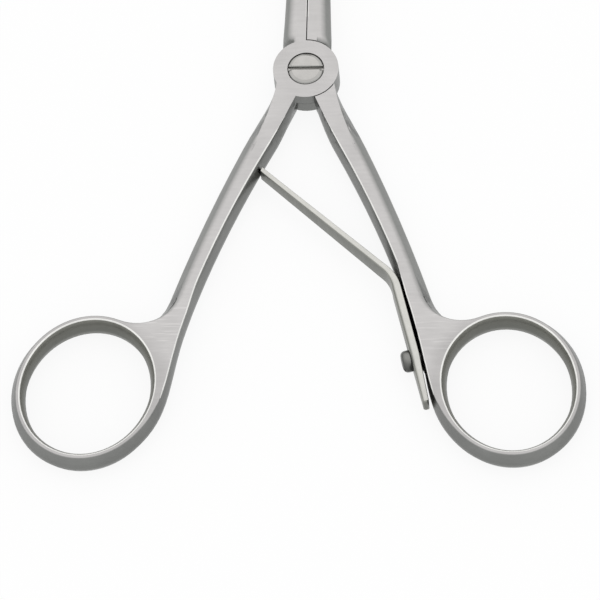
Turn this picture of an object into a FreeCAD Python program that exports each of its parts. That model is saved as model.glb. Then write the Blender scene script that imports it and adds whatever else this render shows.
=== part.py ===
"""Tracheal dilator: two ring handles on a non-crossing screw joint, opened by squeezing the rings together.

Frame: millimetres, +Z up, the origin on the joint's axis in the plane that the instrument rests on.
The ring handles lie towards -Y, one on each side of X = 0, and the blades run towards +Y and curve up.
"""
import FreeCAD, Part
import Sketcher
import math
import os
from FreeCAD import Placement, Rotation, Vector

# Driving dimensions, in millimetres and degrees
SIZES = {
    # finger rings: half sizes of the oval opening at mid thickness, and the band round it
    "ring_long": 14.0,
    "ring_short": 12.0,
    "ring_lean": 15.0,
    "ring_band": 2.75,
    "ring_crown": 1.05,
    "ring_taper": 0.95,
    "ring_spread": 40.9,
    "handle_length": 71.0,
    # forged handles: thickness, the bevels along the shanks and the flat web beside each ring
    "thickness": 5.5,
    "bevel_inner": 1.0,
    "bevel_outer": 2.0,
    "bevel_deep": 2.2,
    "bevel_end_ahead": 24.0,
    "web_ahead": 15.0,
    "web_break": 0.5,
    # the right handle's fuller web, where the spring's foot lies against it
    "pad_bevel_end_ahead": 27.5,
    "pad_ahead": 23.0,
    "pad_break": 0.1,
    # shanks: distance from the centre line and width at three stations between ring and joint
    "shank_low_ahead": 20.0,
    "shank_low_inside": 18.0,
    "shank_low_wide": 5.15,
    "shank_bow": 0.65,
    "shank_mid_wide": 5.45,
    "shank_high_behind": 17.0,
    "shank_high_out": 9.0,
    "shank_high_wide": 6.3,
    # half-lap joint and its screw
    "boss_radius": 6.5,
    "boss_gap": 0.2,
    "lap_gap": 0.05,
    "screw_radius": 2.0,
    "shoulder_radius": 2.4,
    "thread_gap": 0.02,
    "running_gap": 0.05,
    "head_radius": 3.5,
    "head_deep": 1.3,
    "head_crown": 0.35,
    "head_gap": 0.15,
    "slot_wide": 0.9,
    "slot_deep": 0.8,
    # blades
    "blade_gap": 0.2,
    "blade_root": 3.0,
    "blade_clear": 8.0,
    "blade_straight": 12.0,
    "blade_radius": 32.0,
    "blade_curve": 75.0,
    "blade_root_wide": 4.7,
    "blade_tip_wide": 2.9,
    "blade_tip_high": 3.6,
    "blade_nose": 1.1,
    # leaf spring
    "leaf_foot_thick": 1.75,
    "leaf_foot_bevel": 0.5,
    "leaf_thick": 1.15,
    "leaf_tip_thick": 0.95,
    "leaf_wide": 5.0,
    "leaf_tip_wide": 3.2,
    "leaf_tail_thick": 1.0,
    "leaf_tail_wide": 3.8,
    "leaf_tail_gap": 0.45,
    "leaf_touch": 0.06,
    "leaf_bend_radius": 9.0,
    "leaf_bend_ahead": 22.0,
    "leaf_tip_ahead": 48.7,
    "leaf_tail": 10.5,
    # spring screw
    "pin_ahead": 7.0,
    "pin_radius": 1.35,
    "pin_gap": 0.1,
    "pin_bite": 3.0,
    "pin_head_radius": 2.15,
    "pin_head_high": 1.65,
    "pin_head_round": 0.5,
    "pin_slot_wide": 0.6,
    "pin_slot_deep": 0.6,
}

# Dimensions that follow from those
DERIVED = {
    "lap_low": "(thickness - lap_gap) / 2",
    "lap_high": "(thickness + lap_gap) / 2",
    "room_radius": "boss_radius + boss_gap",
    "thread_radius": "screw_radius + thread_gap",
    "bore_radius": "shoulder_radius + running_gap",
    "seat_radius": "head_radius + head_gap",
    "seat_floor": "thickness - head_deep",
    "head_under": "seat_floor + running_gap",
    "head_top": "thickness + head_crown",
    "head_face": "head_radius - head_crown * 2",
    "slot_floor": "head_top - slot_deep",
    "slot_long": "head_radius * 2.4",
    "pin_under": "pin_bite + leaf_tail_gap + leaf_foot_thick",
    "pin_top": "pin_under + pin_head_high",
    "pin_shoulder": "pin_top - pin_head_round",
    "pin_turning": "pin_top - pin_head_round * 0.3",
    "pin_shoulder_face": "pin_head_radius - pin_head_round * 0.3",
    "pin_face": "pin_head_radius - pin_head_round",
    "pin_slot_floor": "pin_top - pin_slot_deep",
    "pin_slot_long": "pin_head_radius * 2.4",
}

os.makedirs("parts", exist_ok=True)
doc = FreeCAD.newDocument("tracheal_dilator")
sheet = doc.addObject("Spreadsheet::Sheet", "Sizes")
for row, (name, value) in enumerate(SIZES.items(), start=1):
    sheet.set(f"A{row}", name)
    sheet.set(f"B{row}", str(value))
    sheet.setAlias(f"B{row}", name)
for row, (name, formula) in enumerate(DERIVED.items(), start=len(SIZES) + 1):
    sheet.set(f"A{row}", name)
    sheet.set(f"B{row}", f"={formula}")
    sheet.setAlias(f"B{row}", name)
    doc.recompute()


def size(name):
    """A driving dimension as the sheet holds it."""
    return float(sheet.get(name))


def add(kind, name, bound, axis=None):
    """A document object with its properties bound to the sheet, turned about an axis if one is given."""
    item = doc.addObject(kind, name)
    if axis:
        item.Placement = Placement(Vector(), Rotation(axis, 1))
    for prop, expression in bound.items():
        item.setExpression(prop, expression)
    return item


def solid(name, shape):
    """A document object that holds a shape worked out from the sheet."""
    item = doc.addObject("Part::Feature", name)
    item.Shape = shape
    return item


def mirrored(source, name):
    """The same form on the other side of X = 0."""
    item = doc.addObject("Part::Mirroring", name)
    item.Source = source
    item.Normal = Vector(1, 0, 0)
    return item


def cut(name, base, tool):
    item = doc.addObject("Part::Cut", name)
    item.Base = base
    item.Tool = tool
    return item


def fuse(name, *parts):
    item = doc.addObject("Part::MultiFuse", name)
    item.Shapes = list(parts)
    return item


# Finger rings: an oval that leans towards the joint, the same for its band, rim and opening
thickness = size("thickness")
half = thickness / 2
ring_centre = Vector(size("ring_spread"), -size("handle_length"), 0)
ring_axis = math.radians(90 + size("ring_lean"))
ring_along = Vector(math.cos(ring_axis), math.sin(ring_axis), 0)
ring_across = Vector(-math.sin(ring_axis), math.cos(ring_axis), 0)


def ring_point(grow, turn):
    """A point of the right ring's oval, grown from its opening, at a turn from its far end."""
    along = (size("ring_long") + grow) * math.cos(turn)
    across = (size("ring_short") + grow) * math.sin(turn)
    return ring_centre + ring_along * along + ring_across * across


def ring_heading(grow, turn):
    """The oval's direction at that point, anticlockwise from above."""
    along = -(size("ring_long") + grow) * math.sin(turn)
    across = (size("ring_short") + grow) * math.cos(turn)
    return (ring_along * along + ring_across * across).normalize()


def oval(grow, start, end):
    """A stretch of the oval as one edge, whichever of its two axes is the longer."""
    far = ring_point(grow, 0)
    side = ring_point(grow, math.pi / 2)
    if size("ring_long") >= size("ring_short"):
        return Part.ArcOfEllipse(Part.Ellipse(far, side, ring_centre), start, end).toShape()
    near = ring_centre * 2 - far
    turned = Part.Ellipse(side, near, ring_centre)
    return Part.ArcOfEllipse(turned, start - math.pi / 2, end - math.pi / 2).toShape()


def raised(wire, height):
    wire.translate(Vector(0, 0, height))
    return wire


# Shanks: each flank is one parabola through its three stations
low_y = size("shank_low_ahead") - size("handle_length")
high_y = -size("shank_high_behind")
mid_y = (low_y + high_y) / 2
low_x = size("ring_spread") - size("shank_low_inside")
high_x = size("shank_high_out")
mid_x = (low_x + high_x) / 2 + size("shank_bow")


def flank(hand, y):
    """The flank's distance from the centre line and its slope at y; hand is -1 inside and 1 outside."""
    low = low_x + hand * size("shank_low_wide") / 2
    middle = mid_x + hand * size("shank_mid_wide") / 2
    high = high_x + hand * size("shank_high_wide") / 2
    reach = high_y - mid_y
    step = (y - mid_y) / reach
    slope = (high - low) / 2 + (high + low - 2 * middle) * step
    return middle + (high - low) / 2 * step + (high + low - 2 * middle) / 2 * step**2, slope / reach


def flank_point(hand, y, back):
    """A point of a flank, moved back into the shank, and the flank's heading there towards the joint."""
    x, slope = flank(hand, y)
    return Vector(x - hand * back, y, 0), Vector(slope, 1, 0)


def curve(*poles):
    """A smooth edge drawn by its poles."""
    line = Part.BezierCurve()
    line.setPoles(list(poles))
    return line.toShape()


def flank_edge(hand, start, end, start_back, end_back):
    """A stretch of a flank between two stations."""
    first, heading = flank_point(hand, start, start_back)
    last, last_heading = flank_point(hand, end, end_back)
    third = (end - start) / 3
    return curve(first, first + heading * third, last - last_heading * third, last)


# Where the ring's outside leaves for the shank, as turns from its far end, and the web curve's fullness
INNER_JOIN = math.radians(122)
OUTER_JOIN = math.radians(367)
WEB_PULL = 0.85


def outline(height, ring_back, inner, outer_back):
    """A right handle's outline at one height, moved back from its widest on the ring and the flanks.

    inner lists the inner flank's stations from the joint to the web, each with its own way back.
    """
    grow = size("ring_band") - ring_back
    boss = size("boss_radius")
    inner_join = ring_point(grow, INNER_JOIN)
    outer_join = ring_point(grow, OUTER_JOIN)
    web_in, web_heading = flank_point(-1, *inner[-1])
    low_out, low_heading = flank_point(1, low_y, outer_back)
    high_out, out_heading = flank_point(1, high_y, outer_back)
    high_in, in_heading = flank_point(-1, *inner[0])
    end_out = Vector(0.85 * boss, -0.1 * boss, 0)
    end_in = Vector(0.22 * boss, -0.8 * boss, 0)
    edges = [
        oval(grow, INNER_JOIN, OUTER_JOIN),
        curve(
            outer_join,
            outer_join + ring_heading(grow, OUTER_JOIN) * size("ring_short") * 0.42,
            low_out - low_heading * size("shank_low_wide"),
            low_out,
        ),
        flank_edge(1, low_y, high_y, outer_back, outer_back),
        curve(high_out, high_out + out_heading * boss * 0.9, end_out - Vector(0, boss * 0.75, 0), end_out),
        Part.makeLine(end_out, end_in),
        curve(end_in, high_in + in_heading * boss * 0.6, high_in),
        *[flank_edge(-1, first[0], last[0], first[1], last[1]) for first, last in zip(inner, inner[1:])],
        curve(
            web_in,
            web_in - web_heading * size("ring_long") * WEB_PULL,
            inner_join - ring_heading(grow, INNER_JOIN) * size("ring_short") * WEB_PULL,
            inner_join,
        ),
    ]
    return raised(Part.Wire(edges), height)


def ring_hole(grow, height):
    """The opening's oval at one height."""
    return raised(Part.Wire([oval(grow, 0, 2 * math.pi)]), height)


def handle(name, stations):
    """A right handle with its ring; stations name the inner flank's distances ahead and its ways back."""
    face = [(size(ahead) - size("handle_length"), size(back)) for ahead, back in stations]
    face.insert(0, (high_y, face[0][1]))
    land = [(y, 0) for y, back in face]
    taper, bevel = size("ring_taper"), size("bevel_outer")
    levels = [
        outline(0, taper, face, bevel),
        outline(size("bevel_deep"), 0, land, 0),
        outline(thickness - size("bevel_deep"), 0, land, 0),
        outline(thickness, taper, face, bevel),
    ]
    crown = size("ring_crown")
    rim_deep = thickness * 0.18
    holes = [
        ring_hole(crown, 0),
        ring_hole(crown * 0.33, rim_deep),
        ring_hole(0, half),
        ring_hole(crown * 0.33, thickness - rim_deep),
        ring_hole(crown, thickness),
    ]
    return solid(name, Part.makeLoft(levels, True, True).cut(Part.makeLoft(holes, True, True)))


plain_handle = handle("plain_handle", [("bevel_end_ahead", "bevel_inner"), ("web_ahead", "web_break")])
pad_stations = [
    ("pad_bevel_end_ahead", "bevel_inner"),
    ("pad_ahead", "pad_break"),
    ("web_ahead", "pad_break"),
]
sprung_handle = handle("sprung_handle", pad_stations)

# Blades: flat towards each other and half round outside, a straight root, an upward curve and a blunt nose
CURVE_STEPS = 9
NOSE = ((0.45, 0.9), (0.8, 0.62), (1.0, 0.3))


def blade_section(number, reach, step, share, nose=0.0, shrink=1.0):
    """One section of the right blade: step counts along the curve, share runs from root to tip."""
    turn = f"({step} / {CURVE_STEPS} * Sizes.blade_curve * 1 deg)"
    tip = f"Sizes.blade_nose * {nose}"
    wide = f"(Sizes.blade_root_wide * {1 - share} + Sizes.blade_tip_wide * {share}) * {shrink}"
    high = f"(Sizes.thickness * {1 - share} + Sizes.blade_tip_high * {share}) * {shrink}"
    place = {
        "Placement.Base.x": "Sizes.blade_gap / 2",
        "Placement.Base.y": f"{reach} + Sizes.blade_radius * sin({turn}) + {tip} * cos({turn})",
        "Placement.Base.z": "Sizes.thickness / 2"
        f" + Sizes.blade_radius * (1 - cos({turn})) + {tip} * sin({turn})",
        "Placement.Rotation.Angle": f"90 deg + {turn}",
    }
    sketch = add("Sketcher::SketchObject", f"blade_section_{number}", place, axis=Vector(1, 0, 0))
    back = Part.Circle(Vector(half, 0, 0), Vector(0, 0, 1), half)
    sketch.addGeometry(Part.LineSegment(Vector(0, half, 0), Vector(0, -half, 0)), False)
    sketch.addGeometry(Part.LineSegment(Vector(0, -half, 0), Vector(half, -half, 0)), False)
    sketch.addGeometry(Part.ArcOfCircle(back, -math.pi / 2, math.pi / 2), False)
    sketch.addGeometry(Part.LineSegment(Vector(half, half, 0), Vector(0, half, 0)), False)
    rules = [
        ("Coincident", 0, 2, 1, 1),
        ("Tangent", 1, 2, 2, 1),
        ("Tangent", 2, 2, 3, 1),
        ("Coincident", 3, 2, 0, 1),
        ("Horizontal", 1),
        ("Horizontal", 3),
        ("PointOnObject", 0, 1, -2),
        ("Symmetric", 0, 1, 0, 2, -1),
    ]
    for rule in rules:
        sketch.addConstraint(Sketcher.Constraint(*rule))
    tall = sketch.addConstraint(Sketcher.Constraint("DistanceY", 0, 2, 0, 1, thickness))
    level = sketch.addConstraint(Sketcher.Constraint("DistanceX", 1, 1, 1, 2, half))
    sketch.setExpression(f"Constraints[{tall}]", high)
    sketch.setExpression(f"Constraints[{level}]", f"{wide} - {high} / 2")
    return sketch


blade_root = doc.addObject("Part::Extrusion", "blade_root")
blade_root.Base = blade_section(0, "Sizes.blade_root", 0, 0)
blade_root.DirMode = "Custom"
blade_root.Dir = Vector(0, 1, 0)
blade_root.Solid = True
blade_root.setExpression("LengthFwd", "Sizes.blade_clear - Sizes.blade_root")
sections = [blade_section(1, "Sizes.blade_clear", 0, 0)]
for step in range(CURVE_STEPS + 1):
    share = (step + 1) / (CURVE_STEPS + 1)
    sections.append(blade_section(step + 2, "Sizes.blade_straight", step, share))
for number, (nose, shrink) in enumerate(NOSE, start=CURVE_STEPS + 3):
    sections.append(blade_section(number, "Sizes.blade_straight", CURVE_STEPS, 1, nose, shrink))
blade_curve = add("Part::Loft", "blade_curve", {})
blade_curve.Sections = sections
blade_curve.Solid = True
blade_curve.Ruled = True
blade = fuse("blade", blade_root, blade_curve)

# Half-lap joint: each lever keeps a round boss of half its thickness and is cut away round the other one's
lower_boss = add("Part::Cylinder", "lower_boss", {"Radius": "Sizes.boss_radius", "Height": "Sizes.lap_low"})
upper_boss = add("Part::Cylinder", "upper_boss", {"Radius": "Sizes.boss_radius", "Height": "Sizes.lap_low"})
upper_boss.setExpression("Placement.Base.z", "Sizes.lap_high")
upper_room = add("Part::Cylinder", "upper_room", {"Radius": "Sizes.room_radius", "Height": "Sizes.thickness"})
upper_room.setExpression("Placement.Base.z", "Sizes.lap_low")
lower_room = add("Part::Cylinder", "lower_room", {"Radius": "Sizes.room_radius", "Height": "Sizes.thickness"})
lower_room.setExpression("Placement.Base.z", "Sizes.lap_high - Sizes.thickness")
thread_hole = add("Part::Cylinder", "thread_hole", {"Radius": "Sizes.thread_radius"})
thread_hole.setExpression("Height", "Sizes.thickness")
bore = add("Part::Cylinder", "bore", {"Radius": "Sizes.bore_radius", "Height": "Sizes.thickness * 2"})
head_seat = add("Part::Cylinder", "head_seat", {"Radius": "Sizes.seat_radius", "Height": "Sizes.thickness"})
head_seat.setExpression("Placement.Base.z", "Sizes.seat_floor")


# Leaf spring: its foot runs past the web, where the screw holds it, to a bend beside the right shank
def left_of(heading):
    """The direction square to a heading, on its left from above."""
    return Vector(-heading.y, heading.x, 0).normalize()


ring_side = ring_point(size("ring_band"), math.pi / 2)
foot_start = ring_side + left_of(ring_heading(0, math.pi / 2)) * size("leaf_tail_gap") * -1
foot_high, bend_slope = flank_point(-1, size("leaf_bend_ahead") - size("handle_length"), 0)
foot_high += left_of(bend_slope) * size("leaf_touch")
foot_way = (foot_high - foot_start).normalize()
foot_left = left_of(foot_way)
foot_low = foot_start + foot_way * (size("pin_ahead") - size("handle_length") - foot_start.y) / foot_way.y
tail_end = foot_low - foot_way * size("leaf_tail")

# Its arm leaves the bend's circle on the straight line that ends against the left shank
bend_radius = size("leaf_bend_radius")
bend_centre = foot_high + foot_left * bend_radius
tip_y = size("leaf_tip_ahead") - size("handle_length")
shank_spot, shank_slope = flank_point(-1, tip_y, size("leaf_touch") * -1)
arm_end = Vector(-shank_spot.x, tip_y, 0) + Vector(size("leaf_tip_thick"), 0, 0)
reach = arm_end - bend_centre
arm_length = math.sqrt(reach.Length**2 - bend_radius**2)
arm_angle = math.atan2(reach.y, reach.x) + math.atan2(bend_radius, arm_length)
arm_way = Vector(math.cos(arm_angle), math.sin(arm_angle), 0)
arm_left = left_of(arm_way)
arm_start = bend_centre - arm_left * bend_radius
bend_pull = bend_radius * math.tan(foot_left.getAngle(arm_left) / 4) * 4 / 3


def leaf_outline(height, back):
    """The bent strip in plan at one height: back is how far its foot's left face is moved in."""
    foot_thick = size("leaf_foot_thick") - back
    tail_left = tail_end + foot_left * foot_thick
    tail_right = tail_end + foot_left * (size("leaf_foot_thick") - size("leaf_tail_thick"))
    foot_left_end = foot_high + foot_left * foot_thick
    arm_left_start = arm_start + arm_left * size("leaf_thick")
    arm_left_end = arm_end + arm_left * size("leaf_tip_thick")
    edges = [
        Part.makeLine(tail_right, foot_low),
        Part.makeLine(foot_low, foot_high),
        curve(foot_high, foot_high + foot_way * bend_pull, arm_start - arm_way * bend_pull, arm_start),
        Part.makeLine(arm_start, arm_end),
        Part.makeLine(arm_end, arm_left_end),
        Part.makeLine(arm_left_end, arm_left_start),
        curve(
            arm_left_start,
            arm_left_start - arm_way * bend_pull * 0.6,
            foot_left_end + foot_way * bend_pull * 0.6,
            foot_left_end,
        ),
        Part.makeLine(foot_left_end, tail_left),
        Part.makeLine(tail_left, tail_right),
    ]
    return raised(Part.Wire(edges), height)


bevel = size("leaf_foot_bevel")
leaf_low = half - size("leaf_wide") / 2
leaf_high = half + size("leaf_wide") / 2
strip_shape = Part.makeLoft(
    [
        leaf_outline(leaf_low, bevel),
        leaf_outline(leaf_low + bevel, 0),
        leaf_outline(leaf_high - bevel, 0),
        leaf_outline(leaf_high, bevel),
    ],
    True,
    True,
)
strip = solid("strip", strip_shape)


def leaf_point(y, wide):
    return Vector(-size("ring_spread"), y, half + wide / 2)


side_points = [
    (tail_end.y - size("leaf_thick"), size("leaf_tail_wide") * 0.6),
    (tail_end.y + size("leaf_thick"), size("leaf_tail_wide")),
    (foot_low.y, size("leaf_wide") * 1.04),
    (foot_high.y, size("leaf_wide") * 1.04),
    (arm_start.y + bend_radius * 0.8, size("leaf_wide") * 0.95),
    (tip_y + size("leaf_thick") * 2, size("leaf_tip_wide")),
]
side = [leaf_point(y, wide) for y, wide in side_points]
side += [leaf_point(y, -wide) for y, wide in reversed(side_points)]
side_face = Part.Face(Part.makePolygon(side + side[:1]))
side_view = solid("leaf_side_view", side_face.extrude(Vector(2 * size("ring_spread"), 0, 0)))
leaf_blank = doc.addObject("Part::Common", "leaf_blank")
leaf_blank.Base = strip
leaf_blank.Tool = side_view

# The spring's screw goes through the foot into the web, square to the foot
pin_turn = Rotation(Vector(0, 0, 1), foot_left)
pin_end = foot_low - foot_left * (size("leaf_tail_gap") + size("pin_bite")) + Vector(0, 0, half)
foot_hole = add("Part::Cylinder", "foot_hole", {"Radius": "Sizes.pin_radius + Sizes.pin_gap"})
foot_hole.setExpression("Height", "Sizes.pin_under * 1.5")
foot_hole.Placement = Placement(pin_end, pin_turn)
pin_hole = add("Part::Cylinder", "pin_hole", {"Radius": "Sizes.pin_radius + Sizes.thread_gap"})
pin_hole.setExpression("Height", "Sizes.pin_under + Sizes.thread_gap")
pin_hole.Placement = Placement(pin_end - foot_left * size("thread_gap"), pin_turn)


def fix_corner(sketch, edge, x_name, y_name):
    """Holds the start of an edge at the sheet's x and y, or on the axis that an empty name stands for."""
    for kind, name, axis in (("DistanceX", x_name, -2), ("DistanceY", y_name, -1)):
        if name:
            rule = sketch.addConstraint(Sketcher.Constraint(kind, -1, 1, edge, 1, size(name)))
            sketch.setExpression(f"Constraints[{rule}]", f"Sizes.{name}")
        else:
            sketch.addConstraint(Sketcher.Constraint("PointOnObject", edge, 1, axis))


def slotted_screw(label, corners, slot):
    """A screw turned about Z from its corners (radius, height), with a slot across its head."""
    body = doc.addObject("PartDesign::Body", label)
    planes = {plane.Role: plane for plane in body.Origin.OriginFeatures}
    profile = body.newObject("Sketcher::SketchObject", f"{label}_profile")
    profile.AttachmentSupport = [(planes["XZ_Plane"], "")]
    profile.MapMode = "FlatFace"
    spots = [Vector(*[size(name) if name else 0 for name in corner], 0) for corner in corners]
    for edge, first in enumerate(spots):
        last = spots[(edge + 1) % len(spots)]
        profile.addGeometry(Part.LineSegment(first, last), False)
    for edge, corner in enumerate(corners):
        before = (edge - 1) % len(corners)
        profile.addConstraint(Sketcher.Constraint("Coincident", before, 2, edge, 1))
        fix_corner(profile, edge, *corner)
    turned = body.newObject("PartDesign::Revolution", f"{label}_turned")
    turned.Profile = profile
    turned.ReferenceAxis = (profile, ["V_Axis"])
    turned.Angle = 360
    long_name, wide_name, floor_name = slot
    across = body.newObject("Sketcher::SketchObject", f"{label}_slot_plan")
    across.AttachmentSupport = [(planes["XY_Plane"], "")]
    across.MapMode = "FlatFace"
    across.setExpression("AttachmentOffset.Base.z", f"Sizes.{floor_name}")
    corner = Vector(size(long_name) / 2, size(wide_name) / 2, 0)
    marks = [corner, Vector(-corner.x, corner.y, 0), corner * -1, Vector(corner.x, -corner.y, 0)]
    for edge in range(4):
        across.addGeometry(Part.LineSegment(marks[edge], marks[(edge + 1) % 4]), False)
    for edge in range(4):
        across.addConstraint(Sketcher.Constraint("Coincident", edge, 2, (edge + 1) % 4, 1))
        across.addConstraint(Sketcher.Constraint("Vertical" if edge % 2 else "Horizontal", edge))
    across.addConstraint(Sketcher.Constraint("Symmetric", 0, 1, 1, 2, -1, 1))
    for kind, edge, name in (("DistanceX", 2, long_name), ("DistanceY", 3, wide_name)):
        rule = across.addConstraint(Sketcher.Constraint(kind, edge, 1, edge, 2, size(name)))
        across.setExpression(f"Constraints[{rule}]", f"Sizes.{name}")
    slotted = body.newObject("PartDesign::Pocket", f"{label}_slot")
    slotted.Profile = across
    slotted.Type = 1
    slotted.Reversed = True
    return body


# Joint screw: its end flush with the underside, a shoulder that the left lever turns on, a raised head
joint_corners = [
    ("", ""),
    ("screw_radius", ""),
    ("screw_radius", "lap_low"),
    ("shoulder_radius", "lap_low"),
    ("shoulder_radius", "head_under"),
    ("head_radius", "head_under"),
    ("head_radius", "thickness"),
    ("head_face", "head_top"),
    ("", "head_top"),
]
joint_screw = slotted_screw("joint_screw", joint_corners, ("slot_long", "slot_wide", "slot_floor"))

# Spring screw: a plain shank and a cheese head with a broken rim, its head against the spring's foot
pin_corners = [
    ("", ""),
    ("pin_radius", ""),
    ("pin_radius", "pin_under"),
    ("pin_head_radius", "pin_under"),
    ("pin_head_radius", "pin_shoulder"),
    ("pin_shoulder_face", "pin_turning"),
    ("pin_face", "pin_top"),
    ("", "pin_top"),
]
pin_slot = ("pin_slot_long", "pin_slot_wide", "pin_slot_floor")
spring_screw = slotted_screw("spring_screw", pin_corners, pin_slot)
spring_screw.Placement = Placement(pin_end, pin_turn)

# Each piece as one solid, every cut left with its running gap
right_form = fuse("right_form", sprung_handle, blade)
right_whole = fuse("right_whole", cut("right_cut", right_form, upper_room), lower_boss)
right_lever = cut("right_lever", right_whole, fuse("right_holes", thread_hole, pin_hole))
left_form = fuse("left_form", mirrored(plain_handle, "left_handle"), mirrored(blade, "left_blade"))
left_whole = fuse("left_whole", cut("left_cut", left_form, lower_room), upper_boss)
left_lever = cut("left_lever", left_whole, fuse("left_holes", bore, head_seat))
leaf_spring = cut("leaf_spring", leaf_blank, foot_hole)
doc.recompute()

for item in doc.Objects:
    if any(word in ("Invalid", "Error") for word in item.State):
        raise RuntimeError(f"{item.Name} did not build: {item.State}")
for item in (right_lever, left_lever, joint_screw, leaf_spring, spring_screw):
    if not item.Shape.isValid() or len(item.Shape.Solids) != 1:
        raise RuntimeError(f"{item.Label} is not one valid solid")
    print(f"{item.Label}: {item.Shape.Volume:.1f} mm3")
    item.Shape.exportStep(f"parts/{item.Label}.step")
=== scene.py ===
"""Looks of the tracheal dilator: satin stainless steel on a white table, seen from above its rings."""

import math

import bmesh
import bpy
from mathutils import Matrix, Vector


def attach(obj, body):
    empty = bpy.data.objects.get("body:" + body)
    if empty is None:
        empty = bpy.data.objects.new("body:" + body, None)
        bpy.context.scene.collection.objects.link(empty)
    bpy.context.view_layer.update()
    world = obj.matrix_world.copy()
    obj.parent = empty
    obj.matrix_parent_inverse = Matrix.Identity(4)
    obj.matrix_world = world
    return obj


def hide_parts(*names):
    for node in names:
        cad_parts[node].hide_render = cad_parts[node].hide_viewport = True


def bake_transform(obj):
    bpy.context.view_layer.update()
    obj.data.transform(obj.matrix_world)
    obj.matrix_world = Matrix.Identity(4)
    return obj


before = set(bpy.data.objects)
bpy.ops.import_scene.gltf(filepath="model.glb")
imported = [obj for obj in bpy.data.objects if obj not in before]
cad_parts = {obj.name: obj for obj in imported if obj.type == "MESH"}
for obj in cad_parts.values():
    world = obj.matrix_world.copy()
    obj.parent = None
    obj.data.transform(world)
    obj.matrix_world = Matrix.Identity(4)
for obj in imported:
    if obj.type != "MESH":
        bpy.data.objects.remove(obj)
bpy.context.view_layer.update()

# Camera: high above the handles, looking down their length, turned a few degrees to the right and rolled a
# little. A long lens far away keeps the handles as parallel to the eye as they are in the photograph.
VIEW_CENTRE = Vector((-0.000155, -0.05075, 0.00275))
VIEW_RIGHT = Vector((0.99795, 0.02256, -0.05981))
VIEW_UP = Vector((0.00915, 0.87559, 0.48295))
VIEW_WIDE = 0.117
CAMERA_FAR = 1.6
SENSOR_MM = 36
VIEW_FROM, VIEW_TO = 0.01, 20


def placed(name, data):
    """A new object in the scene."""
    holder = bpy.data.objects.new(name, data)
    bpy.context.scene.collection.objects.link(holder)
    return holder


camera_data = bpy.data.cameras.new("camera")
camera_data.sensor_width = SENSOR_MM
camera_data.lens = SENSOR_MM * CAMERA_FAR / VIEW_WIDE
camera_data.clip_start = VIEW_FROM
camera_data.clip_end = VIEW_TO
camera = placed("camera", camera_data)
view_back = VIEW_RIGHT.cross(VIEW_UP).normalized()
view_turn = Matrix((VIEW_RIGHT, view_back.cross(VIEW_RIGHT), view_back)).transposed().to_4x4()
camera.matrix_world = Matrix.Translation(VIEW_CENTRE + view_back * CAMERA_FAR) @ view_turn
bpy.context.scene.camera = camera

# Levers: each a drop-forged blank of stainless steel, its flats ground on a belt and its flanks left as
# tumbled. The flats are light and the flanks a darker grey, partly their finish and partly painted light and
# shade by how each face is turned; the rings' inner walls are a darker, olive grey, and the corners between
# them carry a painted highlight.
HALF_THICK = 0.00275
LAND_HALF = 0.00055
RING_CENTRE = Vector((0.0409, -0.071))
RING_OUTSIDE = 0.0172
RING_REACH = 0.0185
WEB_CENTRE = Vector((0.0265, -0.0575))
WEB_SIZE = 0.011
CORNER_HIGHLIGHT_SLOT, WALL_SLOT, GAP_SHADE_SLOT = 1, 2, 3


def linear(colour, alpha=1.0):
    """An sRGB hex colour as Blender's linear numbers."""
    parts = [int(colour[i : i + 2], 16) / 255 for i in (1, 3, 5)]
    return [c / 12.92 if c <= 0.04045 else ((c + 0.055) / 1.055) ** 2.4 for c in parts] + [alpha]


def add(tree, kind, settings=None, inputs=None):
    """A node with its settings, and its inputs given as values or as the outputs they are linked to."""
    node = tree.nodes.new(kind)
    for name, value in (settings or {}).items():
        setattr(node, name, value)
    for name, value in (inputs or {}).items():
        if isinstance(value, bpy.types.NodeSocket):
            tree.links.new(value, node.inputs[name])
        else:
            node.inputs[name].default_value = value
    return node


# how steel looks: how level a face is that takes each colour of the ramp, which paints light on level faces
# and shade on upright ones as well as their finish, and the sizes and strengths of its patterns
UPRIGHT, SLANTED, LEVEL = 0.1, 0.75, 0.97
TONE_CHANGE, ROUGH_CHANGE = 0.1, 0.06
CLOUD_SIZE = 0.00625
BUMP_HIGH, BUMP_SHARE = 0.00002, 0.08
BELT_MARK = (0.005, 0.0003125, 1 / 300)
MARK_FROM, MARK_TO = 0.58, 0.72
DULL_EDGE, DULLED = 0.14, 0.86


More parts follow.
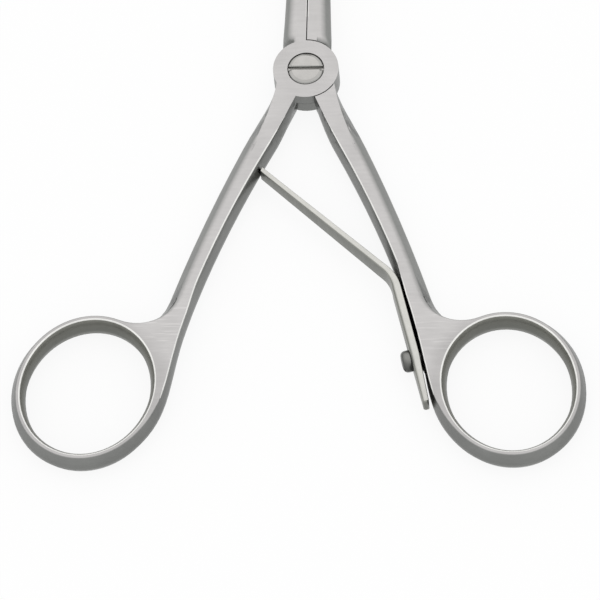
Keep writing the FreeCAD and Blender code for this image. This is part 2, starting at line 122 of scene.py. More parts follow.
def belt_worn(tree, place, wear, strength):
    """The wear of a flat ground on a belt: marks across the webs, and duller rings."""
    sides = add(tree, "ShaderNodeVectorMath", {"operation": "ABSOLUTE"}, {0: place.outputs["Object"]})
    near = []
    for centre, height, size in (
        (WEB_CENTRE, 2 * HALF_THICK, WEB_SIZE),
        (RING_CENTRE, HALF_THICK, RING_OUTSIDE),
    ):
        spot = add(
            tree,
            "ShaderNodeMapping",
            {"vector_type": "TEXTURE"},
            {"Vector": sides.outputs[0], "Location": (centre.x, -centre.y, height), "Scale": (size,) * 3},
        )
        ball = add(
            tree, "ShaderNodeTexGradient", {"gradient_type": "SPHERICAL"}, {"Vector": spot.outputs[0]}
        )
        near.append(ball.outputs["Fac"])
    near_web, near_ring = near

    # the belt's marks run across the webs, 0.3 mm wide because real ones of 0.05 mm wouldn't show
    strokes = add(
        tree,
        "ShaderNodeMapping",
        None,
        {"Vector": place.outputs["Object"], "Scale": [1 / length for length in BELT_MARK]},
    )
    lines = add(
        tree, "ShaderNodeTexNoise", None, {"Vector": strokes.outputs[0], "Scale": 1.0, "Detail": 1.0}
    )
    marks = add(
        tree,
        "ShaderNodeMapRange",
        None,
        {"Value": lines.outputs["Fac"], "From Min": MARK_FROM, "From Max": MARK_TO, "To Max": strength},
    )
    marked = add(
        tree,
        "ShaderNodeMath",
        {"operation": "MULTIPLY_ADD"},
        {0: marks.outputs[0], 1: near_web, 2: wear.outputs[0]},
    )

    # the rings' flats are ground last, by hand, and are duller than the webs
    dull = add(
        tree,
        "ShaderNodeMapRange",
        None,
        {"Value": near_ring, "From Max": DULL_EDGE, "To Min": 1.0, "To Max": DULLED},
    )
    return add(
        tree, "ShaderNodeMath", {"operation": "MULTIPLY"}, {0: marked.outputs[0], 1: dull.outputs[0]}
    )


def satin_steel(name, finish_and_shade_tones, roughness, grain, belt_marks=0.0):
    """Satin steel: colours for its upright, slanted and level faces, partly its finish and partly painted
    shade and light by how a face is turned, and its grain's size along each axis.
    """
    material = bpy.data.materials.new(name)
    material.use_nodes = True
    tree = material.node_tree
    shader = tree.nodes["Principled BSDF"]
    shader.inputs["Metallic"].default_value = 1.0
    place = add(tree, "ShaderNodeTexCoord")
    normal = add(tree, "ShaderNodeSeparateXYZ", None, {0: place.outputs["Normal"]})
    level = add(tree, "ShaderNodeMath", {"operation": "ABSOLUTE"}, {0: normal.outputs["Z"]})
    # the ramp paints shade on upright faces and light on level ones, on top of the finish's own colour
    finish_and_shade_ramp = add(tree, "ShaderNodeValToRGB", None, {"Fac": level.outputs[0]})
    stops = finish_and_shade_ramp.color_ramp.elements
    stops.new(SLANTED)
    for stop, position, colour in zip(stops, (UPRIGHT, SLANTED, LEVEL), finish_and_shade_tones):
        stop.position = position
        stop.color = linear(colour)

    grains = add(
        tree,
        "ShaderNodeMapping",
        None,
        {"Vector": place.outputs["Object"], "Scale": [1 / length for length in grain]},
    )
    brush = add(tree, "ShaderNodeTexNoise", None, {"Vector": grains.outputs[0], "Scale": 1.0, "Detail": 3.0})
    cloud = add(
        tree,
        "ShaderNodeTexNoise",
        None,
        {"Vector": place.outputs["Object"], "Scale": 1 / CLOUD_SIZE, "Detail": 2.0},
    )
    shade, mottle = (
        add(
            tree,
            "ShaderNodeMapRange",
            None,
            {"Value": noise.outputs["Fac"], "To Min": 1 - TONE_CHANGE, "To Max": 1 + TONE_CHANGE},
        )
        for noise in (brush, cloud)
    )
    wear = add(
        tree, "ShaderNodeMath", {"operation": "MULTIPLY"}, {0: shade.outputs[0], 1: mottle.outputs[0]}
    )
    if belt_marks:
        wear = belt_worn(tree, place, wear, belt_marks)
    facing_shade_and_wear = add(
        tree,
        "ShaderNodeVectorMath",
        {"operation": "SCALE"},
        {0: finish_and_shade_ramp.outputs["Color"], "Scale": wear.outputs[0]},
    )
    rough = add(
        tree,
        "ShaderNodeMapRange",
        None,
        {
            "Value": brush.outputs["Fac"],
            "To Min": roughness - ROUGH_CHANGE,
            "To Max": roughness + ROUGH_CHANGE,
        },
    )
    bump = add(
        tree,
        "ShaderNodeBump",
        None,
        {"Height": brush.outputs["Fac"], "Strength": BUMP_SHARE, "Distance": BUMP_HIGH},
    )
    for node, socket in ((facing_shade_and_wear, "Base Color"), (rough, "Roughness"), (bump, "Normal")):
        tree.links.new(node.outputs[0], shader.inputs[socket])
    return material


# what counts as one point, as one flat face, as an edge too short for a corner, and as a level face
TOUCHING, FLAT_TURN, SHORTEST_EDGE = 1e-6, 0.004, 4e-5
DEAD_LEVEL, NEAR_LEVEL, SLOPING = 0.999, 0.99, 0.9
# which corners are bevelled, the sharp bevel's faces painted as a highlight, and how wide: a hair
# everywhere, which runs out at the joint
CORNER_TURN = math.radians(34)
SHARP_CORNER, SOFT_CORNER = 0.00018, 0.0009
SHARP_SHARE = 0.4
SAME_LINE = -0.8
JOINT_REACH, JOINT_FADE = 0.0113, 0.1


def merged(mesh, cuts=()):
    """A closed mesh as a form whose flat faces are whole again, with a cut across it at each y."""
    form = bmesh.new()
    form.from_mesh(mesh)
    bmesh.ops.remove_doubles(form, verts=form.verts, dist=TOUCHING)
    bmesh.ops.dissolve_limit(form, angle_limit=FLAT_TURN, verts=form.verts, edges=form.edges)
    for y in cuts:
        whole = form.verts[:] + form.edges[:] + form.faces[:]
        bmesh.ops.bisect_plane(form, geom=whole, plane_co=(0, y, 0), plane_no=(0, 1, 0))
    return form


def corner_room(edge):
    """How wide a corner's bevel, painted as a highlight, can be before it meets its neighbours; it runs out
    at the joint.
    """
    from_joint = max(0.0, min(vert.co.xy.length for vert in edge.verts) - JOINT_REACH)
    narrowest = min(face.calc_area() for face in edge.link_faces) / edge.calc_length()
    room = min(JOINT_FADE * from_joint, narrowest)
    for vert in edge.verts:
        way = (edge.other_vert(vert).co - vert.co).normalized()
        for other in vert.link_edges:
            ahead = other.other_vert(vert).co - vert.co
            if other != edge and ahead.normalized().dot(way) > SAME_LINE:
                room = min(room, (ahead - way * ahead.dot(way)).length)
    return room


def cornered(name, mesh, softened=None, cuts=()):
    """An object from a closed mesh whose corners carry the weights that its two bevels round them by."""
    form = merged(mesh, cuts)
    bmesh.ops.remove_doubles(form, verts=form.verts, dist=SHORTEST_EDGE)
    sharp = form.edges.layers.float.new("sharp_corner")
    soft = form.edges.layers.float.new("soft_corner")
    for edge in form.edges:
        if len(edge.link_faces) == 2 and edge.calc_face_angle(0) > CORNER_TURN:
            share = softened(edge) if softened else 0.0
            edge[soft] = max(0.0, share)
            edge[sharp] = 0.0 if share else min(1.0, SHARP_SHARE * corner_room(edge) / SHARP_CORNER)
    for face in form.faces:
        face.smooth = abs(face.normal.z) < DEAD_LEVEL
        face.material_index = 0
    form.to_mesh(mesh)
    form.free()
    mesh.materials.clear()
    piece = placed(name, mesh)
    # the sharp bevel's faces take the corner slot's painted highlight
    bevels = (("soft_corner", SOFT_CORNER, 4, -1), ("sharp_corner", SHARP_CORNER, 2, CORNER_HIGHLIGHT_SLOT))
    for weights, width, segments, finish in bevels:
        corners = piece.modifiers.new(weights, "BEVEL")
        corners.limit_method = "WEIGHT"
        corners.edge_weight = weights
        corners.width = width
        corners.segments = segments
        corners.material = finish
        corners.use_clamp_overlap = False
        corners.harden_normals = True
    return piece


# where the spring's foot lies along the right lever; then, by their y, the share by which the flank's land
# comes out to the foot, and how far the flats draw back from it
TAIL_END = Vector((0.02602, -0.07417, HALF_THICK))
FOOT_HIGH = Vector((0.01959, -0.04902, HALF_THICK))
foot_way = (FOOT_HIGH - TAIL_END).normalized()
foot_left = Vector((-foot_way.y, foot_way.x, 0))
SEAT_LAND = ((-0.0664, 0.0), (-0.0662, 1.0), (-0.0505, 1.0), (-0.0490, 0.0))
SEAT_FLAT = (
    (-0.0580, 0.0),
    (-0.0545, 0.00014),
    (-0.0512, 0.0002),
    (-0.0490, 0.00036),
    (-0.0479, 0.00045),
    (-0.0468, 0.0004),
    (-0.0457, 0.00022),
    (-0.0446, 0.00004),
    (-0.0435, 0.0),
)
SEAT_CUTS = [-0.0664, -0.0662] + [-0.0655 + step * 0.0011 for step in range(21)]
SEAT_DEEP = 0.0022
SEAT_CLEAR = 0.00002


def from_seat(spot):
    """How far a point lies to the right of the spring's foot."""
    return (TAIL_END - spot).dot(foot_left)


def graded(table, y):
    """A value read from a table of (y, value) rows that run towards the joint."""
    if not table[0][0] < y < table[-1][0]:
        return 0.0
    for (start, first), (end, last) in zip(table, table[1:]):
        if y <= end:
            return first + (last - first) * (y - start) / (end - start)


def seated(mesh):
    """The right lever's mesh with its inner flank shaped for the spring's foot."""
    form = merged(mesh, SEAT_CUTS)
    for vert in form.verts:
        beside = from_seat(vert.co)
        if beside < SEAT_DEEP:
            above_land = (abs(vert.co.z - HALF_THICK) - LAND_HALF) / (HALF_THICK - LAND_HALF)
            slant = min(1.0, max(0.0, above_land))
            out = (beside - SEAT_CLEAR) * graded(SEAT_LAND, vert.co.y) * (1 - slant)
            vert.co += foot_left * (out - graded(SEAT_FLAT, vert.co.y) * slant)
    form.to_mesh(mesh)
    form.free()
    return mesh


# where the levers' outer corners are rounder: a little round the ring, growing to their full width along the
# shank, and running out towards the joint, where cuts across the shank keep the narrowing even
WEB_LOW, WEB_HIGH, SOFT_TO = -0.0745, -0.062, -0.0085
PLAIN_STRETCH = 0.001
RING_SOFT = 0.25
SOFT_GROWS, SOFT_FADES = 0.01, 0.0125
SHANK_CUTS = [-0.0237 + step * 0.0013 for step in range(12)]


def outer_flat_corner(edge):
    """How far a flat's corner with its outer wall is rounded: a little on the ring, most on the shank."""
    middle = (edge.verts[0].co + edge.verts[1].co) / 2
    sideways = min((face.normal for face in edge.link_faces), key=lambda n: abs(n.z))
    if max(abs(face.normal.z) for face in edge.link_faces) < NEAR_LEVEL:
        return 0.0
    outward = middle.xy - Vector((math.copysign(RING_CENTRE.x, middle.x), RING_CENTRE.y))
    inner_flank = sideways.x * middle.x <= 0
    if outward.length < RING_REACH:
        beside_web = inner_flank and WEB_LOW - PLAIN_STRETCH < middle.y < WEB_HIGH
        if sideways.xy.dot(outward) < 0 or beside_web and middle.y > WEB_LOW + PLAIN_STRETCH:
            return 0.0
        # between the two kinds of corner a short stretch stays as it is
        return -1.0 if beside_web else RING_SOFT
    if inner_flank or middle.y > SOFT_TO:
        return 0.0
    from_ring = RING_SOFT + (outward.length - RING_REACH) / SOFT_GROWS
    return min(1.0, from_ring, (SOFT_TO - middle.y) / SOFT_FADES)


lever_steel = satin_steel(
    "belt_ground_stainless",
    finish_and_shade_tones=("#7A7B79", "#8D8E8C", "#C1BFBE"),
    roughness=0.36,
    grain=(0.0044, 0.0006, 0.0006),
    belt_marks=0.2,
)
# a painted highlight along the corners, lighter than the steel round it
corner_highlight_steel = satin_steel(
    "stainless_corner_painted_highlight",
    finish_and_shade_tones=("#C4C4C2", "#E4E4E1", "#E8E7E4"),
    roughness=0.3,
    grain=(0.0011, 0.0011, 0.0011),
)
# the rings' inner walls take darker, olive-grey colours than the flanks
ring_wall_steel = satin_steel(
    "darker_olive_stainless_ring_wall",
    finish_and_shade_tones=("#6A6B66", "#7C7C76", "#C1BFBE"),
    roughness=0.4,
    grain=(0.0012, 0.0012, 0.0012),
)
# under the spring's foot the inner flank is painted near black, as painted shade for the narrow gap between
# foot and lever
gap_painted_shade_steel = satin_steel(
    "painted_shade_under_spring_foot",
    finish_and_shade_tones=("#1A1A19", "#1C1C1B", "#2A2A29"),
    roughness=0.5,
    grain=(0.0012, 0.0012, 0.0012),
)
FACING_IN = 0.2
GAP_SHADE_TO = -0.0478
for side, body, hand in (("right", "right_handle", 1), ("left", "left_handle", -1)):
    lever_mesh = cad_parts[f"{side}_lever"].data.copy()
    if side == "right":
        lever_mesh = seated(lever_mesh)
    lever = cornered(f"{side}_lever_finished", lever_mesh, outer_flat_corner, SHANK_CUTS)
    ring_centre = Vector((hand * RING_CENTRE.x, RING_CENTRE.y))
    for face in lever.data.polygons:
        inward = ring_centre - face.center.xy
        if inward.length < RING_REACH and face.normal.xy.dot(inward) > FACING_IN * inward.length:
            face.material_index = WALL_SLOT
        # the inner flank's faces along the spring's foot take the painted shade
        if side == "right" and abs(face.normal.z) < SLOPING and from_seat(face.center) < SEAT_DEEP:
            if SEAT_LAND[0][0] < face.center.y < GAP_SHADE_TO:
                face.material_index = GAP_SHADE_SLOT
    for finish in (lever_steel, corner_highlight_steel, ring_wall_steel, gap_painted_shade_steel):
        lever.data.materials.append(finish)
    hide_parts(f"{side}_lever")
    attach(lever, body)

# Joint screw: turned from stainless bar, screwed into the right lever, with a slot across its raised head.
# The turned faces are a little darker and smoother than the ground flats round them.
screw_steel = satin_steel(
    "turned_stainless",
    finish_and_shade_tones=("#8A8A88", "#A4A4A1", "#BDBBB8"),
    roughness=0.3,
    grain=(0.0014, 0.0014, 0.0014),
)
joint_screw = cornered("joint_screw_finished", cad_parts["joint_screw"].data.copy())
for finish in (screw_steel, corner_highlight_steel):
    joint_screw.data.materials.append(finish)
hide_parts("joint_screw")
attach(joint_screw, "right_handle")

# Leaf spring: a strip of cold-rolled spring steel, its narrow edges ground and lighter by painted light,
# bent once and tapered to its tip.
# It is swept along the line of its lever side, and is thicker and bevelled at the foot, where the screw
# goes through.
FOOT_SCREW = Vector((0.02342, -0.06400, HALF_THICK))
ARM_START = Vector((0.01694, -0.04460, HALF_THICK))
ARM_END = Vector((-0.00790, -0.02194, HALF_THICK))
BEND_LONG, BEND_PULL = 0.0052, 0.001755
FOOT_BEVEL = 0.0005
TIP_MITRE = 0.0004
foot_length = (FOOT_HIGH - TAIL_END).length
arm_length = (ARM_END - ARM_START).length
arm_way = (ARM_END - ARM_START).normalized()
arm_left = Vector((-arm_way.y, arm_way.x, 0))
STRIP_SIZES = {
    "Foot thickness": 0.00175,
    "Arm thickness": 0.00115,
    "Tip thickness": 0.00095,
    "Tail thickness": 0.0012,
    "Foot height": 0.0052,
    "Tip height": 0.0034,
    "Tail height": 0.0036,
    "Arm corner": 0.5,
    "Hole radius": 0.00145,
    "Hole depth": 0.006,
    "Screw at": (FOOT_SCREW - TAIL_END).length,
    "Bend start": foot_length,
    "Bend end": foot_length + BEND_LONG,
    "Length": foot_length + BEND_LONG + arm_length,
}
STATIONS, HOLE_SIDES, SMOOTH_STEPS = 110, 32, 24
# cuts across the arm, evenly spaced along it
ARM_CUTS = [-0.0440 + step * 0.0009 for step in range(25)]
TAIL_ROUND, TAIL_NEAR = 0.45, 0.0001


def plain_mesh(piece):
    """The mesh that an object's modifiers make of it."""
    depsgraph = bpy.context.evaluated_depsgraph_get()
    return bpy.data.meshes.new_from_object(piece.evaluated_get(depsgraph))


def in_order(mesh):
    """A mesh with its points and faces in a fixed order, which a Boolean's result doesn't come in."""
    by_place = sorted(range(len(mesh.vertices)), key=lambda index: tuple(mesh.vertices[index].co))
    new_index = {old: new for new, old in enumerate(by_place)}
    faces = []
    for face in mesh.polygons:
        loop = [new_index[index] for index in face.vertices]
        first = loop.index(min(loop))
        faces.append(loop[first:] + loop[:first])
    ordered = bpy.data.meshes.new(mesh.name)
    ordered.from_pydata([mesh.vertices[index].co for index in by_place], [], sorted(faces))
    return ordered


def tail_corner(edge):
    """A rounder corner at the tail's end than along the strip."""
    middle = (edge.verts[0].co + edge.verts[1].co) / 2
    return TAIL_ROUND if (middle - TAIL_END).dot(foot_way) < TAIL_NEAR else 0.0


path_data = bpy.data.curves.new("leaf_spring_path", "CURVE")
path_data.dimensions = "3D"
path_data.resolution_u = SMOOTH_STEPS
line = path_data.splines.new("BEZIER")
line.bezier_points.add(3)
spots = (
    (TAIL_END, foot_way, foot_length / 3, foot_length / 3),
    (FOOT_HIGH, foot_way, foot_length / 3, BEND_PULL),
    (ARM_START, arm_way, BEND_PULL, arm_length / 3),
    (ARM_END, arm_way, arm_length / 3, arm_length / 3),
)
for spot, (place, way, before, after) in zip(line.bezier_points, spots):
    spot.co = place
    spot.handle_left = place - way * before
    spot.handle_right = place + way * after
path = placed("leaf_spring_path", path_data)

section_data = bpy.data.curves.new("leaf_spring_section", "CURVE")
section_data.dimensions = "3D"
thick, high = STRIP_SIZES["Foot thickness"], STRIP_SIZES["Foot height"] / 2
corners = (
    (0, -high),
    (thick - FOOT_BEVEL, -high),
    (thick, -high + FOOT_BEVEL),
    (thick, high - FOOT_BEVEL),
    (thick - FOOT_BEVEL, high),
    (0, high),
)
ring = section_data.splines.new("POLY")
ring.points.add(len(corners) - 1)
for point, (out, rise) in zip(ring.points, corners):
    point.co = (out, rise, 0, 1)
ring.use_cyclic_u = True
section = placed("leaf_spring_section", section_data)

# the section swept along the path, with each point's place in both kept for what follows
MATHS, VECTOR, RANGE = "ShaderNodeMath", "ShaderNodeVectorMath", "ShaderNodeMapRange"
strip = bpy.data.node_groups.new("tapered_strip", "GeometryNodeTree")
for name, kind in (("Path", "Geometry"), ("Section", "Object"), ("Finish", "Material")):
    strip.interface.new_socket(name, in_out="INPUT", socket_type=f"NodeSocket{kind}")
for name in STRIP_SIZES:
    strip.interface.new_socket(name, in_out="INPUT", socket_type="NodeSocketFloat")
strip.interface.new_socket("Mesh", in_out="OUTPUT", socket_type="NodeSocketGeometry")
given = add(strip, "NodeGroupInput").outputs
position = add(strip, "GeometryNodeInputPosition")
heading = add(strip, "GeometryNodeInputTangent")
travelled = add(strip, "GeometryNodeSplineParameter")
stations = add(
    strip, "GeometryNodeResampleCurve", {"mode": "COUNT"}, {"Curve": given["Path"], "Count": STATIONS}
)
drawn = add(strip, "GeometryNodeObjectInfo", None, {"Object": given["Section"]})
kept_path = add(strip, "GeometryNodeCaptureAttribute")
kept_section = add(strip, "GeometryNodeCaptureAttribute")
for keeper, items, sources in (
    (
        kept_path,
        (("VECTOR", "Centre"), ("VECTOR", "Heading"), ("FLOAT", "Along")),
        (stations.outputs[0], position.outputs[0], heading.outputs[0], travelled.outputs["Length"]),
    ),
    (kept_section, (("VECTOR", "Spot"),), (drawn.outputs["Geometry"], position.outputs[0])),
):
    for item in items:
        keeper.capture_items.new(*item)
    for socket, output in enumerate(sources):
        strip.links.new(output, keeper.inputs[socket])
swept = add(
    strip,
    "GeometryNodeCurveToMesh",
    None,
    {"Curve": kept_path.outputs[0], "Profile Curve": kept_section.outputs[0], "Fill Caps": True},
)
centre, way, along = kept_path.outputs[1:4]
spot = add(strip, "ShaderNodeSeparateXYZ", None, {0: kept_section.outputs[1]}).outputs

# its thickness: from the lever side, eased in at the tail, to the free side, which thins from foot to tip
foot_thick, arm_thick = given["Foot thickness"], given["Arm thickness"]
bend_start, bend_end = given["Bend start"], given["Bend end"]
bevel_left = add(
    strip, RANGE, None, {"Value": along, 1: bend_start, 2: bend_end, 3: 1.0, 4: given["Arm corner"]}
).outputs[0]
middle = add(strip, MATHS, {"operation": "MULTIPLY"}, {0: foot_thick, 1: 0.5}).outputs[0]
free_side = add(strip, MATHS, {"operation": "GREATER_THAN"}, {0: spot["X"], 1: middle}).outputs[0]
bevel_lost = add(strip, MATHS, {"operation": "SUBTRACT"}, {0: bevel_left, 1: 1.0}).outputs[0]
bevel_share = add(
    strip, MATHS, {"operation": "MULTIPLY_ADD"}, {0: free_side, 1: bevel_lost, 2: 1.0}
).outputs[0]
inset = add(strip, MATHS, {"operation": "SUBTRACT"}, {0: spot["X"], 1: foot_thick}).outputs[0]
out = add(strip, MATHS, {"operation": "MULTIPLY_ADD"}, {0: inset, 1: bevel_share, 2: foot_thick}).outputs[0]
out_share = add(strip, MATHS, {"operation": "DIVIDE"}, {0: out, 1: foot_thick}).outputs[0]
to_arm = add(
    strip, RANGE, None, {"Value": along, 1: bend_start, 2: bend_end, 3: foot_thick, 4: arm_thick}
).outputs[0]
thinned = add(strip, MATHS, {"operation": "SUBTRACT"}, {0: given["Tip thickness"], 1: arm_thick}).outputs[0]
to_tip = add(
    strip, RANGE, None, {"Value": along, 1: bend_end, 2: given["Length"], 3: 0.0, 4: thinned}
).outputs[0]
upper = add(strip, MATHS, {"operation": "ADD"}, {0: to_arm, 1: to_tip}).outputs[0]
tail_back = add(
    strip, MATHS, {"operation": "SUBTRACT"}, {0: foot_thick, 1: given["Tail thickness"]}
).outputs[0]
lower = add(
    strip, RANGE, None, {"Value": along, 1: 0.0, 2: given["Screw at"], 3: tail_back, 4: 0.0}
).outputs[0]
thickness = add(strip, MATHS, {"operation": "SUBTRACT"}, {0: upper, 1: lower}).outputs[0]
offset = add(
    strip, MATHS, {"operation": "MULTIPLY_ADD"}, {0: out_share, 1: thickness, 2: lower}
).outputs[0]

# its height: least at the tail and the tip, greatest at the screw
foot_high = given["Foot height"]
half_height = add(strip, MATHS, {"operation": "MULTIPLY"}, {0: foot_high, 1: 0.5}).outputs[0]
spot_high = add(strip, MATHS, {"operation": "ABSOLUTE"}, {0: spot["Y"]}).outputs[0]
lowered = add(strip, MATHS, {"operation": "SUBTRACT"}, {0: spot_high, 1: half_height}).outputs[0]
corner_high = add(
    strip, MATHS, {"operation": "MULTIPLY_ADD"}, {0: lowered, 1: bevel_share, 2: half_height}
).outputs[0]
high_share = add(strip, MATHS, {"operation": "DIVIDE"}, {0: corner_high, 1: foot_high}).outputs[0]
tail_height = add(
    strip, RANGE, None, {"Value": along, 1: 0.0, 2: given["Screw at"], 3: given["Tail height"], 4: foot_high}
).outputs[0]
arm_height = add(
    strip,
    RANGE,
    None,
    {"Value": along, 1: bend_start, 2: given["Length"], 3: foot_high, 4: given["Tip height"]},
).outputs[0]
height = add(strip, MATHS, {"operation": "MINIMUM"}, {0: tail_height, 1: arm_height}).outputs[0]
reach = add(strip, MATHS, {"operation": "MULTIPLY"}, {0: high_share, 1: height}).outputs[0]
updown = add(strip, MATHS, {"operation": "SIGN"}, {0: spot["Y"]}).outputs[0]
rise = add(strip, MATHS, {"operation": "MULTIPLY"}, {0: reach, 1: updown}).outputs[0]

# each point goes out and up from the path by those two, and then the screw's hole is drilled
left = add(strip, VECTOR, {"operation": "CROSS_PRODUCT"}, {0: (0, 0, 1), 1: way}).outputs[0]
sideways = add(strip, VECTOR, {"operation": "SCALE"}, {0: left, "Scale": offset}).outputs[0]
upwards = add(strip, "ShaderNodeCombineXYZ", None, {"Z": rise}).outputs[0]
outwards = add(strip, VECTOR, {"operation": "ADD"}, {0: sideways, 1: upwards}).outputs[0]
spread = add(strip, VECTOR, {"operation": "ADD"}, {0: centre, 1: outwards}).outputs[0]
shaped = add(
    strip, "GeometryNodeSetPosition", None, {"Geometry": swept.outputs[0], "Position": spread}
)
drill = add(
    strip,
    "GeometryNodeMeshCylinder",
    None,
    {"Vertices": HOLE_SIDES, "Depth": given["Hole depth"], "Radius": given["Hole radius"]},
)
set_drill = add(
    strip,
    "GeometryNodeTransform",
    None,
    {
        "Geometry": drill.outputs["Mesh"],
        "Translation": FOOT_SCREW + foot_left * STRIP_SIZES["Foot thickness"] / 2,
        "Rotation": (math.pi / 2, 0, math.atan2(foot_left.x, -foot_left.y)),
    },
)
drilled = add(
    strip,
    "GeometryNodeMeshBoolean",
    {"operation": "DIFFERENCE"},
    {"Mesh 1": shaped.outputs[0], "Mesh 2": set_drill.outputs[0]},
)
real = add(strip, "GeometryNodeRealizeInstances", None, {0: drilled.outputs[0]})
finished = add(
    strip, "GeometryNodeSetMaterial", None, {"Geometry": real.outputs[0], "Material": given["Finish"]}
)
add(strip, "NodeGroupOutput", None, {"Mesh": finished.outputs[0]})

# cold rolling leaves the strip's faces a dull grey and its ground edges are light, both also painted shade
# and light by how each face is turned; its corners carry a painted highlight, a little lighter than the
# faces
spring_steel = satin_steel(
    "cold_rolled_spring_steel",
    finish_and_shade_tones=("#757671", "#8E8F89", "#CCCBC6"),
    roughness=0.36,
    grain=(0.0009, 0.0009, 0.003),
)
spring_corner_highlight_steel = satin_steel(
    "spring_corner_painted_highlight",
    finish_and_shade_tones=("#848580", "#A6A6A0", "#C9C8C3"),
    roughness=0.34,
    grain=(0.0011, 0.0011, 0.0011),
)
sweep = path.modifiers.new("tapered_strip", "NODES")
sweep.node_group = strip
values = dict(STRIP_SIZES, Section=section, Finish=spring_steel)
for item in strip.interface.items_tree:
    if item.in_out == "INPUT" and item.name in values:
        sweep[item.identifier] = values[item.name]
strip_mesh = plain_mesh(path)
bpy.data.objects.remove(path)
bpy.data.objects.remove(section)
form = bmesh.new()
form.from_mesh(strip_mesh)
bmesh.ops.remove_doubles(form, verts=form.verts, dist=TOUCHING)
bmesh.ops.recalc_face_normals(form, faces=form.faces)
# the tip is cut off in line with the left shank's flank, which it slides on
for vert in form.verts:
    past = vert.co - ARM_END
    if past.dot(arm_way) > -TOUCHING:
        vert.co += arm_way * TIP_MITRE * (1 - past.dot(arm_left) / STRIP_SIZES["Tip thickness"])
form.to_mesh(strip_mesh)
form.free()

leaf = cornered("leaf_spring_finished", in_order(strip_mesh), tail_corner, ARM_CUTS)
for finish in (spring_steel, spring_corner_highlight_steel):
    leaf.data.materials.append(finish)
leaf_mesh = plain_mesh(leaf)
leaf.modifiers.clear()
leaf.data = leaf_mesh
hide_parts("leaf_spring")
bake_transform(leaf)

# Spring screw: a small screw of darker steel, turned with a domed head, that holds the spring's foot to the
# right lever's web. It came to rest with its slot along the foot. Its head is painted lighter on top and
# darker below by how each face is turned, and its corners carry a faint painted highlight.
SHANK_RADIUS, SHANK_LONG = 0.00135, 0.0052
HEAD_RADIUS, HEAD_HIGH = 0.00215, 0.0019
RIM_ROUND, RIM_STEPS = 0.00095, 6
CROWN_HIGH = 0.0001
SLOT_WIDE, SLOT_DEEP = 0.0006, 0.0006
TURNED_FACETS = 40
head_top = SHANK_LONG + HEAD_HIGH
rim_top = head_top - CROWN_HIGH
profile = [(0, 0), (SHANK_RADIUS, 0), (SHANK_RADIUS, SHANK_LONG), (HEAD_RADIUS, SHANK_LONG)]
for step in range(RIM_STEPS + 1):
    angle = step / RIM_STEPS * math.pi / 2
    inwards, downwards = RIM_ROUND * (1 - math.cos(angle)), RIM_ROUND * (1 - math.sin(angle))
    profile.append((HEAD_RADIUS - inwards, rim_top - downwards))
profile.append((0, head_top))
form = bmesh.new()
spots = [form.verts.new((radius, 0, height)) for radius, height in profile]
edges = [form.edges.new(pair) for pair in zip(spots, spots[1:])]
bmesh.ops.spin(
    form, geom=spots + edges, axis=(0, 0, 1), cent=(0, 0, 0), angle=2 * math.pi, steps=TURNED_FACETS
)
bmesh.ops.remove_doubles(form, verts=form.verts, dist=TOUCHING)
bmesh.ops.recalc_face_normals(form, faces=form.faces)
screw_mesh = bpy.data.meshes.new("turned_screw")
form.to_mesh(screw_mesh)
form.free()
form = bmesh.new()
bmesh.ops.create_cube(form, size=1.0)
bmesh.ops.scale(form, verts=form.verts, vec=(HEAD_RADIUS * 3, SLOT_WIDE, SLOT_DEEP * 2))
bmesh.ops.translate(form, verts=form.verts, vec=(0, 0, head_top))
saw_mesh = bpy.data.meshes.new("slot_saw")
form.to_mesh(saw_mesh)
form.free()
turned = placed("turned_screw", screw_mesh)
saw = placed("slot_saw", saw_mesh)
slot = turned.modifiers.new("slot", "BOOLEAN")
slot.object = saw
slotted_mesh = in_order(plain_mesh(turned))
for piece in (turned, saw):
    bpy.data.objects.remove(piece)
shank_end = FOOT_SCREW + foot_left * (STRIP_SIZES["Foot thickness"] - SHANK_LONG)
screw_turn = Matrix((foot_way, foot_left.cross(foot_way), foot_left)).transposed().to_4x4()
slotted_mesh.transform(Matrix.Translation(shank_end) @ screw_turn)
pin_steel = satin_steel(
    "dark_turned_steel",
    finish_and_shade_tones=("#494A48", "#6E6F6C", "#8C8C89"),
    roughness=0.3,
    grain=(0.0014, 0.0014, 0.0014),
)
pin_corner_highlight_steel = satin_steel(
    "dark_turned_corner_painted_highlight",
    finish_and_shade_tones=("#6C6C6A", "#787876", "#848482"),
    roughness=0.3,
    grain=(0.0014, 0.0014, 0.0014),
)
spring_screw = cornered("spring_screw_finished", slotted_mesh)
for finish in (pin_steel, pin_corner_highlight_steel):
    spring_screw.data.materials.append(finish)
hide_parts("spring_screw")
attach(spring_screw, "right_handle")

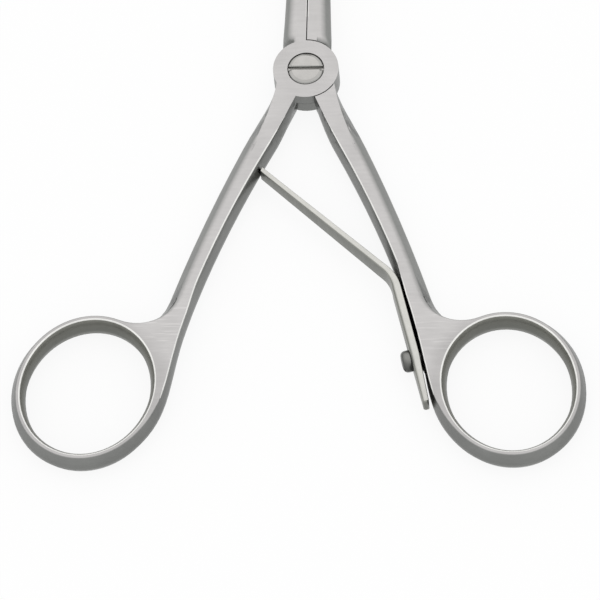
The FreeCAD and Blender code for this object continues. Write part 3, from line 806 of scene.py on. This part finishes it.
# Table and light: a matt white table under one broad lamp overhead and two weak ones at the sides, in a
# white room. The eye and the steel see table and room as white, and the table keeps the object's shadow.
TABLE_HALF, TABLE_DOWN = 3.0, 0.00005
GLOW_SHARE = 0.88
table_material = bpy.data.materials.new("matt_white_table")
table_material.use_nodes = True
tree = table_material.node_tree
table_top = tree.nodes["Principled BSDF"]
table_top.inputs["Base Color"].default_value = linear("#F4F4F4")
table_top.inputs["Roughness"].default_value = 0.9
table_top.inputs["Specular IOR Level"].default_value = 0.0
rays = add(tree, "ShaderNodeLightPath").outputs
direct = add(
    tree, MATHS, {"operation": "ADD"}, {0: rays["Is Camera Ray"], 1: rays["Is Glossy Ray"]}
).outputs[0]
seen = add(
    tree, MATHS, {"operation": "ADD", "use_clamp": True}, {0: direct, 1: rays["Is Transmission Ray"]}
).outputs[0]
share = add(tree, MATHS, {"operation": "MULTIPLY"}, {0: seen, 1: GLOW_SHARE}).outputs[0]
glow = add(tree, "ShaderNodeEmission", None, {"Color": linear("#FFFFFF"), "Strength": 1.0})
mixed = add(tree, "ShaderNodeMixShader", None, {0: share, 1: table_top.outputs[0], 2: glow.outputs[0]})
tree.links.new(mixed.outputs[0], tree.nodes["Material Output"].inputs["Surface"])
form = bmesh.new()
bmesh.ops.create_grid(form, x_segments=8, y_segments=8, size=TABLE_HALF)
table_mesh = bpy.data.meshes.new("table")
form.to_mesh(table_mesh)
form.free()
table_mesh.transform(Matrix.Translation((0, 0, -TABLE_DOWN)))
table_mesh.materials.append(table_material)
table = placed("table", table_mesh)

# each lamp's name, place, target, size and power
LAMPS = (
    ("overhead", (0.0, 0.35, 1.1), (0.0, -0.03, 0.0), 1.2, 0.6),
    ("left_side", (-1.0, -0.2, 0.5), (0.0, -0.03, 0.0), 0.6, 0.3),
    ("right_side", (1.0, -0.3, 0.6), (0.0, -0.03, 0.0), 0.6, 0.4),
)
for name, place, target, wide, power in LAMPS:
    lamp = bpy.data.lights.new(name, "AREA")
    lamp.size = wide
    lamp.energy = power
    holder = placed(name, lamp)
    holder.location = place
    holder.rotation_mode = "QUATERNION"
    holder.rotation_quaternion = (Vector(place) - Vector(target)).to_track_quat("Z", "Y")
world = bpy.data.worlds.new("white_room")
world.use_nodes = True
room = world.node_tree.nodes["Background"]
room.inputs["Color"].default_value = linear("#FFFFFF")
room.inputs["Strength"].default_value = 1.0
bpy.context.scene.world = world
bpy.context.scene.view_settings.view_transform = "Standard"
